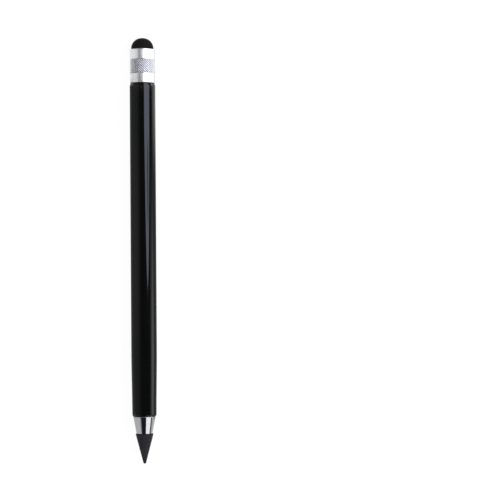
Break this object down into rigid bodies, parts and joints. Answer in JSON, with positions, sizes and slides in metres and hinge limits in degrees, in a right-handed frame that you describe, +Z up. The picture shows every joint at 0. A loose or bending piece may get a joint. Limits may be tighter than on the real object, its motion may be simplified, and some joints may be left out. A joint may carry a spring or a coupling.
{
  "type": "capacitive stylus",
  "caption": "Slim round stylus with a rubber dome for touch screens on a knurled metal ferrule, a glossy tube barrel, and a chromed nose with a screw-in inkless graphite nib.",
  "frame": {"origin": "on the surface that the tool lies on, under the middle of its length", "axes": "+X along the tool towards the rubber dome, so that the nib points to -X; +Z up, away from the surface"},
  "size_m": [0.1406, 0.0086, 0.0085],
  "materials": {
    "graphite": "satin",
    "brass": "satin",
    "ring_rubber": "matte",
    "chrome": "polished",
    "black_lacquer": "gloss",
    "turned_aluminium": "satin",
    "dome_rubber": "matte"
  },
  "bodies": {
    "barrel": {"barrel_tube": "black_lacquer", "front_bush": "brass", "rear_bush": "brass"},
    "nose_ring": {"nose_o_ring": "ring_rubber"},
    "nose": {"nose_cone": "chrome"},
    "nib_ring": {"nib_o_ring": "ring_rubber"},
    "nib": {"graphite_nib": "graphite", "nib_stud": "brass"},
    "ferrule_ring": {"ferrule_o_ring": "ring_rubber"},
    "ferrule": {"knurled_ferrule": "turned_aluminium", "dome_post": "brass"},
    "dome": {"stylus_dome": "dome_rubber"}
  },
  "joints": [
    {"name": "nose_advance", "type": "slide", "parent": "barrel", "child": "nose_ring", "axis": [-1, 0, 0], "range_m": [0, 0.0048]},
    {"name": "nose_unscrew", "type": "hinge", "parent": "nose_ring", "child": "nose", "pos_m": [-0.0545, 0, 0.00425], "axis": [-1, 0, 0], "range_deg": [0, 2160]},
    {"name": "nib_advance", "type": "slide", "parent": "nose", "child": "nib_ring", "axis": [-1, 0, 0], "range_m": [0, 0.0042]},
    {"name": "nib_unscrew", "type": "hinge", "parent": "nib_ring", "child": "nib", "pos_m": [-0.0604, 0, 0.00425], "axis": [-1, 0, 0], "range_deg": [0, 2160]},
    {"name": "ferrule_advance", "type": "slide", "parent": "barrel", "child": "ferrule_ring", "axis": [1, 0, 0], "range_m": [0, 0.0048]},
    {"name": "ferrule_unscrew", "type": "hinge", "parent": "ferrule_ring", "child": "ferrule", "pos_m": [0.05535, 0, 0.00425], "axis": [1, 0, 0], "range_deg": [0, 2160]},
    {"name": "dome_press", "type": "slide", "parent": "ferrule", "child": "dome", "axis": [-1, 0, 0], "range_m": [0, 0.001], "stiffness_N_per_m": 900, "deforming": ["stylus_dome"]}
  ],
  "couplings": [
    {"joint": "nose_unscrew", "follows": "nose_advance", "rad_per_m": 7854},
    {"joint": "nib_unscrew", "follows": "nib_advance", "rad_per_m": 8976},
    {"joint": "ferrule_unscrew", "follows": "ferrule_advance", "rad_per_m": 7854}
  ]
}
